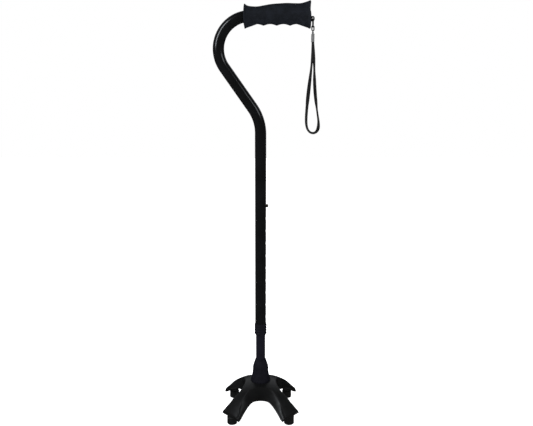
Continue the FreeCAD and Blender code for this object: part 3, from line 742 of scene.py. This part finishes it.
def make_grip():
    """The rubber handle: flanged ends with rolled lips, finger hollows, rim grooves and a parting line."""
    top, bottom, half_y = grip_outline()
    sides, steps, square = 160, 240, 0.86

    def section(x, shrink=0.0):
        high, low, wide = top(x) - shrink, bottom(x) + shrink, half_y(x) - shrink
        middle, tall = (high + low) / 2, (high - low) / 2
        ring = []
        for a in round_angles(sides):
            c, s = math.cos(a), math.sin(a)
            part = 0.16 * math.exp(-((s - 0.08) / 0.035) ** 2)
            y = (wide + part) * math.copysign(abs(c) ** square, c)
            z = tall * math.copysign(abs(s) ** square, s)
            ring.append((x, y, middle + z))
        return ring

    def rim_groove(x):
        depth = 0.0
        for at in (GRIP_START + 5.0, GRIP_END - 6.0):
            depth += 0.45 * math.exp(-((x - at) / 0.55) ** 2)
        return depth

    def end_shift(x, z):
        """How far a point moves along the handle: a bulging start and a hollowed end."""
        shift = 0.0
        if x < GRIP_START + end_depth:
            up = (z - HANDLE_Z) / end_half
            shift += (top_cut if up > 0 else low_cut) * up**2 * (1 - (x - GRIP_START) / end_depth)
        if x > GRIP_END - end_depth:
            hollow = math.exp(-(((z - hollow_z) / hollow_tall) ** 2))
            shift -= hollow_cut * hollow * (1 - (GRIP_END - x) / end_depth)
        return shift

    end_depth, end_half, top_cut, low_cut = 7.0, 23.0, 1.2, 1.9
    hollow_z, hollow_tall, hollow_cut = 806.0, 7.0, 2.2
    lip, turns = 1.8, 8
    rounded = [math.pi / 2 * i / turns for i in range(turns + 1)]
    start = [section(GRIP_START + lip * (1 - math.cos(a)), lip * (1 - math.sin(a))) for a in rounded]
    finish = [section(GRIP_END - lip * (1 - math.cos(a)), lip * (1 - math.sin(a))) for a in reversed(rounded)]
    body = []
    for i in range(1, steps):
        x = GRIP_START + lip + (GRIP_END - GRIP_START - 2 * lip) * i / steps
        body.append(section(x, rim_groove(x)))
    rings = [[(x + end_shift(x, z), y, z) for x, y, z in ring] for ring in start + body + finish]

    def round_hole(x, z, radius):
        ring = []
        for a in round_angles(sides):
            ring.append((x, radius * math.cos(a), z + radius * math.sin(a)))
        return ring

    bore = TUBE_R + 0.15
    mouth_z = HANDLE_Z - TOP_BEND_R + math.sqrt(TOP_BEND_R**2 - (GRIP_START - NECK_X) ** 2)
    left = [round_hole(GRIP_START + 3.0, mouth_z + 0.6, bore), round_hole(GRIP_START, mouth_z, bore + 0.45)]
    right = [round_hole(GRIP_END, HANDLE_Z, bore + 1.2), round_hole(GRIP_END - 1.2, HANDLE_Z, bore)]
    inner = [round_hole(GRIP_END - 14, HANDLE_Z, bore), round_hole(NECK_X, HANDLE_Z, bore)]
    right = [[(x + end_shift(GRIP_END, z), y, z) for x, y, z in ring] for ring in right]
    shape = loft(rings + right + inner + left, loop=True)
    return build("rubber_grip", shape, "upper_cane", "grip_rubber", grip_rubber, ["hand_grip"], sharp=60)


def make_plug():
    """The plug in the handle's end: a dished disc with a rim, and the eyelet tab standing out of it."""
    back, seat, face = span("grip_end_plug")[0].x, tube_high.x, tube_high.x + 9.5
    disc = [(0, back), (BORE_R - 0.4, back), (BORE_R, back + 1), (BORE_R, seat), (TUBE_R, seat)]
    disc += [(TUBE_R, face), (TUBE_R - 1.8, face), (TUBE_R - 2.6, face - 1.2), (0, face - 1.4)]
    round_part = lathe(soften(disc, 0.5), centre=(0, HANDLE_Z), axis="x", steps=96)
    eyelet_z, hole_r, around = 788.3, 1.7, 48
    half_t, reach, drop, rise = 1.5, 3.2, 5.6, 4.4

    def outline(angle):
        """How far the tab's edge is from the eyelet's centre in a direction."""
        c, s = math.cos(angle), math.sin(angle)
        if c >= 0:
            tall = rise if s > 0 else drop
            return 1 / math.sqrt((c / reach) ** 2 + (s / tall) ** 2)
        limits = [(HANG_X - face + 3) / -c]
        if abs(s) > 1e-6:
            limits.append((rise if s > 0 else drop) / abs(s))
        return min(limits)

    def edge_ring(y, shrink, hole=False):
        ring = []
        for k in range(around):
            a = TAU * (k + 0.5) / around
            r = hole_r + shrink if hole else outline(a) - shrink
            ring.append((HANG_X + r * math.cos(a), y, eyelet_z + r * math.sin(a)))
        return ring

    soft = 0.5
    rings = [edge_ring(-half_t, soft), edge_ring(-half_t + 0.15, 0.15), edge_ring(-half_t + soft, 0)]
    rings += [edge_ring(half_t - soft, 0), edge_ring(half_t - 0.15, 0.15), edge_ring(half_t, soft)]
    rings += [edge_ring(half_t, 0.4, True), edge_ring(half_t - 0.4, 0, True)]
    rings += [edge_ring(0.4 - half_t, 0, True), edge_ring(-half_t, 0.4, True)]
    tab = loft(rings, loop=True)
    shape = joined(round_part, tab)
    return build("grip_plug", shape, "upper_cane", "black_plastic", plug_plastic, ["grip_end_plug"], sharp=40)


def make_collar():
    """The locking collar: four rounded ribs and a chamfered mouth."""
    low, high = collar_box[0][2] / MM, collar_box[1][2] / MM
    crest = (collar_box[1][0] - collar_box[0][0]) / 2 / MM
    root = crest - 0.75
    bore = TUBE_R + 0.06
    profile = [(bore, high), (root - 0.2, high), (root, high - 0.5)]
    pitch = 5.3
    for i in range(4):
        top = high - 2.6 - i * pitch
        profile += [(root, top), (crest, top - 0.7), (crest, top - 2.3), (root, top - 3.0)]
    profile += [(root, low + 2.4), (root - 0.5, low + 1.7), (10.6, low), (9.9, low + 0.3)]
    profile += [(9.9, low + 1.4), (bore, low + 3.2)]
    shape = lathe(soften(profile, 0.45, steps=4, closed=True), steps=128)
    looks = "collar_plastic", collar_plastic
    return build("ribbed_collar", shape, "collar", *looks, ["locking_collar"], sharp=40)


# ---- the inner tube and its button

inner_low, inner_high = span("inner_tube")
INNER_R = (inner_high.y - inner_low.y) / 2
INNER_BORE = 8.325


def make_inner_tube():
    """The straight tube that slides in the upper one, with the button's hole."""
    low, high = inner_low.z, inner_high.z
    profile = [(INNER_BORE, low), (INNER_R, low), (INNER_R, high), (INNER_BORE, high)]
    shape = lathe(soften(profile, 0.3, closed=True), steps=96)
    tube = build("lower_tube", shape, "lower_cane", "satin_tube", satin_tube, ["inner_tube"])
    drill(tube, [hole_cutter(BUTTON_Z, 3.5, 3.7, INNER_R)])
    return tube


def make_button():
    """A turned button with a domed nose, a head behind the tube's wall and a stem."""
    tip, back, head_out, head_in = button_high.x, button_low.x, 7.0, 5.6
    profile = [(0, tip), (1.2, tip - 0.08), (2.3, tip - 0.5), (2.95, tip - 1.3), (3.15, tip - 2.2)]
    profile += [(3.2, tip - 3.0), (3.2, head_out), (4.4, head_out), (4.4, head_in), (1.4, head_in)]
    profile = soften(profile + [(1.4, back), (0, back)], [0] * 7 + [0.3, 0.3, 0, 0.2, 0])
    shape = lathe(profile, centre=(0, BUTTON_Z), axis="x", steps=64)
    return build("button_pin", shape, "button", "button_metal", button_metal, ["snap_button"], sharp=45)


# ---- the base

boot_low, boot_high = span("boot")
DOME_R, DOME_TOP = 115.0, 66.3
ARM_REACH, ARM_HALF, ARM_WAIST, NOTCH_R = 84.5, 24.5, 11.6, 24.0
RIDGE_HALF, RIDGE_WAIST, RIDGE_NOTCH_R = 10.6, 2.2, 48.0
FOOT_OUT, FOOT_R, FOOT_TOP = 80.0, 10.0, 21.5
DROOP, LENGTHENED, BULGE = 2.4, 0.075, 1.3


def leg_run(x, y):
    """How far out a point lies along the nearest leg."""
    return max(abs(x + y), abs(x - y)) * math.sqrt(0.5)


def dome_z(x, y, sink=0.0):
    """The height of the dome's skin, or of a surface sunk below it; the ends of the legs droop."""
    droop = DROOP * smooth_step(ARM_REACH - 22, ARM_REACH, leg_run(x, y))
    square = (DOME_R - sink) ** 2
    return DOME_TOP - DOME_R + math.sqrt(square - min(x * x + y * y, square - 1)) - droop


# the rim's height by the distance from the hub
RIM_LINE = smooth_line(
    [(0, 35.0), (37, 35.0), (42, 35.2), (48, 34.6), (61, 31.2), (75, 24.4), (84, 18.6)]
    + [(90, 15.6), (97, 15.2)]
)


def rim_z(x, y):
    """The rim's height, nearly the same all across the end of a leg."""
    return RIM_LINE(max(math.hypot(x, y), 1.04 * leg_run(x, y)))


def leg_outline(waist, half, reach, notch, corner):
    """A closed X outline of (x, y): half-widths at the middle and the end, reach, notch and corner radii.

    Each leg widens towards its end. The same count of points stands on each stretch, so that
    outlines can be joined point to point.
    """
    flare = (half - waist) / reach
    apex = waist / (1 - flare)
    lean = math.atan(flare)
    opening = math.pi / 4 - lean
    along, tangent = Vector((math.cos(lean), math.sin(lean))), notch / math.tan(opening)
    start = Vector((apex, apex))
    touch = start + along * tangent
    centre = start + Vector((1, 1)).normalized() * (notch / math.sin(opening))
    ends, turns, sides, bends = 6, 5, 18, 14
    end_corner = Vector((reach, half))
    rise, run = end_corner + Vector((0, -corner)), end_corner - along * corner
    eighth = [(reach, rise.y * i / ends) for i in range(ends)]
    for i in range(turns):
        t = i / turns
        point = rise.lerp(end_corner, t).lerp(end_corner.lerp(run, t), t)
        eighth.append((point.x, point.y))
    for i in range(sides):
        point = run.lerp(touch, i / sides)
        eighth.append((point.x, point.y))
    spoke = touch - centre
    for i in range(bends + 1):
        a = (math.pi / 2 - opening) * i / bends
        c, s = math.cos(a), math.sin(a)
        eighth.append((centre.x + spoke.x * c + spoke.y * s, centre.y - spoke.x * s + spoke.y * c))
    quarter = [(t, -l) for t, l in reversed(eighth[1:])] + eighth
    outline = []
    for leg in range(4):
        turn = math.pi / 4 + math.pi / 2 * leg
        c, s = math.cos(turn), math.sin(turn)
        outline += [(t * c - l * s, t * s + l * c) for t, l in quarter[:-1]]
    return outline


def make_base():
    """The four-legged moulding: a dome, bulging skirts, a lip, a hollow underside and its bosses."""
    wall = 3.4
    side = 1.1 * wall
    ridge = leg_outline(RIDGE_WAIST, RIDGE_HALF, ARM_REACH - 1.0, RIDGE_NOTCH_R, 1.6)
    rim = leg_outline(ARM_WAIST, ARM_HALF, ARM_REACH, NOTCH_R, 0.9)
    inner_rim = leg_outline(ARM_WAIST - side, ARM_HALF - side, ARM_REACH - wall, NOTCH_R + wall, 1.6)
    inner_ridge = leg_outline(
        RIDGE_WAIST - 1.5, RIDGE_HALF - 2.0, ARM_REACH - wall - 1.0, RIDGE_NOTCH_R + 1.8, 2.0
    )

    def fanned(outline, towards, most):
        """The outline, drawn out towards another one near the ends of the legs."""
        out = []
        for (ax, ay), (bx, by) in zip(outline, towards):
            share = most * smooth_step(ARM_REACH - 20, ARM_REACH, leg_run(ax, ay))
            out.append((ax + (bx - ax) * share, ay + (by - ay) * share))
        return out

    def lengthened(outline):
        """The outline with its legs drawn out a little to the front and the back."""
        shares = [smooth_step(30, ARM_REACH, math.hypot(x, y)) for x, y in outline]
        return [(x, y * (1 + LENGTHENED * share)) for (x, y), share in zip(outline, shares)]

    ridge, inner_ridge = fanned(ridge, rim, 0.35), fanned(inner_ridge, inner_rim, 0.3)
    ridge, rim, inner_rim, inner_ridge = map(lengthened, (ridge, rim, inner_rim, inner_ridge))

    def hub(radius):
        """A circle whose points face those of the outlines."""
        ring = []
        for x, y in ridge:
            long = math.hypot(x, y)
            ring.append((x / long * radius, y / long * radius))
        return ring

    def between(first, second, share):
        """The outline that lies a share of the way from the first to the second."""
        return [(a[0] + (b[0] - a[0]) * share, a[1] + (b[1] - a[1]) * share) for a, b in zip(first, second)]

    hole_r, crown_steps, crown_share = 9.7, 25, 0.985
    core = hub(hole_r)
    rings = [[(x, y, dome_z(x, y)) for x, y in core]]
    for i in range(1, crown_steps + 1):
        crown = between(core, ridge, i / crown_steps * crown_share)
        rings.append([(x, y, dome_z(x, y)) for x, y in crown])

    def skirt(share, puff):
        """A ring on the slope from the ridge to the rim; puff lifts it off the straight line."""
        ring = []
        for (ax, ay), (bx, by) in zip(ridge, rim):
            az, bz = dome_z(ax, ay), rim_z(bx, by)
            x, y = ax + (bx - ax) * share, ay + (by - ay) * share
            z = az + (bz - az) * share
            long = math.hypot(bx, by)
            swell = 1 + 0.8 * smooth_step(ARM_REACH - 25, ARM_REACH, long)
            bulge = puff * math.sin(math.pi * share) * swell
            ring.append((x + bx / long * bulge * 0.5, y + by / long * bulge * 0.5, z + bulge))
        return ring

    rings.append([(x, y, z - 0.25) for x, y, z in skirt(0.0, 0)])
    for share in (0.05, 0.14, 0.26, 0.4, 0.55, 0.7, 0.82, 0.92):
        rings.append(skirt(share, BULGE))
    lip = skirt(1.0, 0)
    rings.append([(x, y, z + 0.9) for x, y, z in lip])
    rings.append([(x * 1.0015, y * 1.0015, z + 0.3) for x, y, z in lip])
    for share in (0.25, 0.8):
        middle = between([p[:2] for p in lip], inner_rim, share)
        rings.append([(x, y, p[2]) for (x, y), p in zip(middle, lip)])
    inner_lip = [(x, y, p[2] + 0.8) for (x, y), p in zip(inner_rim, lip)]
    rings.append(inner_lip)
    for share in (0.25, 0.5, 0.75, 1.0):
        ring = []
        for (ax, ay, low_z), (bx, by) in zip(inner_lip, inner_ridge):
            high_z = max(dome_z(bx, by, wall), low_z + 0.7)
            ring.append((ax + (bx - ax) * share, ay + (by - ay) * share, low_z + (high_z - low_z) * share))
        rings.append(ring)
    boss_r, boss_z, boss_steps, bolt_r, seat_z = 14.0, 46.0, 12, 4.3, 50.0
    boss = hub(boss_r)
    for i in range(1, boss_steps + 1):
        ring = between(inner_ridge, boss, i / boss_steps)
        rings.append([(x, y, dome_z(x, y, wall)) for x, y in ring])
    steps_in = [(boss_r, boss_z + 0.8), (boss_r - 0.7, boss_z), (bolt_r + 0.5, boss_z)]
    for radius, z in steps_in + [(bolt_r, boss_z + 0.5), (bolt_r, seat_z), (hole_r, seat_z)]:
        rings.append([(x, y, z) for x, y in hub(radius)])
    parts = [loft(rings, loop=True)]
    low, stud_r = FOOT_TOP + 0.2, 3.6
    profile = [(stud_r, low), (6.9, low), (7.2, low + 0.6), (7.2, low + 1.0), (stud_r, low + 4.3)]
    profile = soften(profile, 0.4, closed=True)
    for sx in (-1, 1):
        for sy in (-1, 1):
            centre = (sx * FOOT_OUT * math.sqrt(0.5), sy * FOOT_OUT * math.sqrt(0.5))
            parts.append(lathe(profile, centre=centre, steps=64))
    looks = "base_plastic", base_plastic
    return build("base_moulding", joined(*parts), "lower_cane", *looks, ["quad_base"], sharp=38)


def make_boot():
    """The rubber boot: a waisted cone with a flared foot that follows the dome and a rolled top lip."""
    low, high = boot_low.z, boot_high.z
    foot = (boot_high.y - boot_low.y) / 2 + 0.3
    outline = [(foot, low - 1.1), (foot - 0.4, low + 1.0), (foot - 2.0, low + 5.9)]
    outline += [(foot - 3.2, low + 10.7), (foot - 4.1, low + 15.1), (foot - 4.6, low + 19.9)]
    outline += [(foot - 4.7, low + 27.2), (foot - 5.3, low + 30.7), (foot - 7.3, low + 36.9)]
    outline += [(foot - 9.5, high - 1.2), (foot - 9.9, high)]
    inner = [(INNER_R + 0.03, high), (INNER_R + 0.03, low + 1.5)]
    profile = soften(outline + inner, [0.4] + [3.0] * 9 + [0.5, 0.2, 0.2], steps=6, closed=True)
    shape = lathe(profile, steps=128)
    return build("tube_boot", shape, "lower_cane", "boot_rubber", boot_rubber, ["boot"], sharp=50)


def make_foot(name, x, y):
    """A rubber tip: a ringed tread, a rolled rim, a shoulder and a neck round the stud."""
    groove, r, stud_r, head_r, head_low, head_top = 0.9, FOOT_R, 3.55, 7.0, 6.0, 7.6
    profile = [(0, groove), (2.6, groove), (2.8, 0.0), (4.4, 0.0), (4.6, groove), (6.0, groove)]
    profile += [(6.2, 0.0), (7.6, 0.0), (7.8, groove), (8.6, groove), (8.8, 0.0), (r - 0.4, 0.0)]
    profile += [(r, 1.6), (r - 0.25, 6.0), (r - 0.2, 11.4), (r, 12.4), (r, 13.6), (r - 1.5, 14.8)]
    profile += [(r - 1.7, 20.4), (r - 2.3, FOOT_TOP), (stud_r, FOOT_TOP), (stud_r, head_top)]
    profile += [(head_r, head_top), (head_r, head_low), (0, head_low)]
    radii = [0] + [0.2] * 9 + [0.4, 0.5, 0.8, 2, 0.6, 0.8, 0.5, 0.7, 0.7, 0.7, 0.2, 0, 0, 0, 0]
    shape = lathe(soften(profile, radii, steps=5), centre=(x, y), steps=96)
    return build("rubber_" + name, shape, "lower_cane", "foot_rubber", foot_rubber, [name], sharp=45)


def make_bolt():
    """The hex bolt under the dome, with a chamfered head and a washer face."""
    low, high = span("hub_bolt")
    head_top, corner_r, shank_r = low.z + 5.0, 7.2, 4.0
    start = head_top - 0.2
    shank = lathe(soften([(0, start), (shank_r, start), (shank_r, high.z), (0, high.z)], 0.4), steps=48)
    rings = []
    chamfer = [(low.z, 0.86), (low.z + 0.5, 0.98), (low.z + 0.8, 1.0)]
    for z, size in chamfer + [(head_top - 0.3, 1.0), (head_top, 0.99)]:
        ring = []
        for a in round_angles(6):
            ring.append((corner_r * size * math.cos(a), corner_r * size * math.sin(a), z))
        rings.append(soften(ring, 0.5, steps=3, closed=True))
    head = loft(rings)
    shape = joined(shank, head)
    return build("base_bolt", shape, "lower_cane", "zinc_steel", zinc_steel, ["hub_bolt"], sharp=30)


make_upper_tube()
make_grip()
make_plug()
make_collar()
make_inner_tube()
make_button()
make_base()
make_boot()
make_bolt()
for node in ("foot_front_left", "foot_front_right", "foot_rear_left", "foot_rear_right"):
    foot_low, foot_high = span(node)
    make_foot(node, (foot_low.x + foot_high.x) / 2, (foot_low.y + foot_high.y) / 2)


# ---- floor and light


def make_floor():
    """A wide sheet of white paper that glows a little, so that no edge of it shows."""
    mesh = bpy.data.meshes.new("floor")
    half = 6.0
    corners = [(-half, -half, 0), (half, -half, 0), (half, half, 0), (-half, half, 0)]
    mesh.from_pydata(corners, [], [(0, 1, 2, 3)])
    floor = add_object("floor", mesh)
    paint = Paint("floor_paper")
    grain = paint.noise(6, 3, 0.5)
    white = paint.mix(grain, gray(0.86), gray(0.9))
    paint.set(Base_Color=white, Roughness=0.9, Specular_IOR_Level=0.0)
    paint.set(Emission_Color=(1, 1, 1, 1), Emission_Strength=0.8)
    mesh.materials.append(paint.material)
    floor.visible_glossy = False


def area_light(name, place, aim, along, width, length, power):
    """A rectangular panel at a place, facing aim, with its long side as near as can be to along."""
    data = bpy.data.lights.new(name, "AREA")
    data.shape, data.size, data.size_y, data.energy = "RECTANGLE", width, length, power
    data.color = (0.9, 0.95, 1.0)
    light = add_object(name, data)
    back = (Vector(place) - Vector(aim)).normalized()
    long_side = (Vector(along) - back * back.dot(Vector(along))).normalized()
    turn = Matrix((long_side.cross(back), long_side, back)).transposed()
    light.matrix_world = Matrix.Translation(place) @ turn.to_4x4()


def make_world():
    """A white room that looks dim in reflections, but for a pale band above the horizon behind."""
    dim, pale = 0.03, 0.6
    world = bpy.data.worlds.new("studio")
    world.use_nodes = True
    tree = world.node_tree
    shown, room = tree.nodes["Background"], tree.nodes.new("ShaderNodeBackground")
    shown.inputs["Color"].default_value = (1, 1, 1, 1)
    shown.inputs["Strength"].default_value = 1.0
    room.inputs["Color"].default_value = (0.93, 0.96, 1.0, 1)
    direction = tree.nodes.new("ShaderNodeSeparateXYZ")
    tree.links.new(tree.nodes.new("ShaderNodeTexCoord").outputs["Generated"], direction.inputs[0])

    def fade(socket, *limits):
        node = tree.nodes.new("ShaderNodeMapRange")
        node.interpolation_type = "SMOOTHSTEP"
        tree.links.new(socket, node.inputs["Value"])
        for key, number in zip(RANGE_INPUTS, limits):
            node.inputs[key].default_value = number
        return node.outputs["Result"]

    behind = fade(direction.outputs["Y"], 0.3, 0.85, 0.0, 1.0)
    above = fade(direction.outputs["Z"], 0.13, 0.3, 0.0, 1.0)
    band = tree.nodes.new("ShaderNodeMath")
    band.operation = "MULTIPLY"
    tree.links.new(behind, band.inputs[0])
    tree.links.new(above, band.inputs[1])
    tree.links.new(fade(band.outputs[0], 0.0, 1.0, dim, pale), room.inputs["Strength"])
    path, mix = tree.nodes.new("ShaderNodeLightPath"), tree.nodes.new("ShaderNodeMixShader")
    tree.links.new(path.outputs["Is Glossy Ray"], mix.inputs[0])
    tree.links.new(shown.outputs[0], mix.inputs[1])
    tree.links.new(room.outputs[0], mix.inputs[2])
    tree.links.new(mix.outputs[0], tree.nodes["World Output"].inputs[0])
    world.cycles.sampling_method = "NONE"
    bpy.context.scene.world = world


def make_light():
    """A long strip to the left and a panel to the right of the neck, both a little in front."""
    neck = put((-30, 0, 720))
    left, lean = neck + Vector((-1.13, -0.86, 0.7)), (0.46, -0.05, 0.89)
    area_light("left_strip", left, neck, along=lean, width=0.38, length=1.1, power=17.0)
    right, upright = neck + Vector((1.3, -0.81, 0.62)), (0, 0, 1)
    area_light("right_panel", right, neck, along=upright, width=0.6, length=0.45, power=3.6)


make_world()
make_floor()
make_light()
bpy.context.scene.view_settings.view_transform = "Standard"
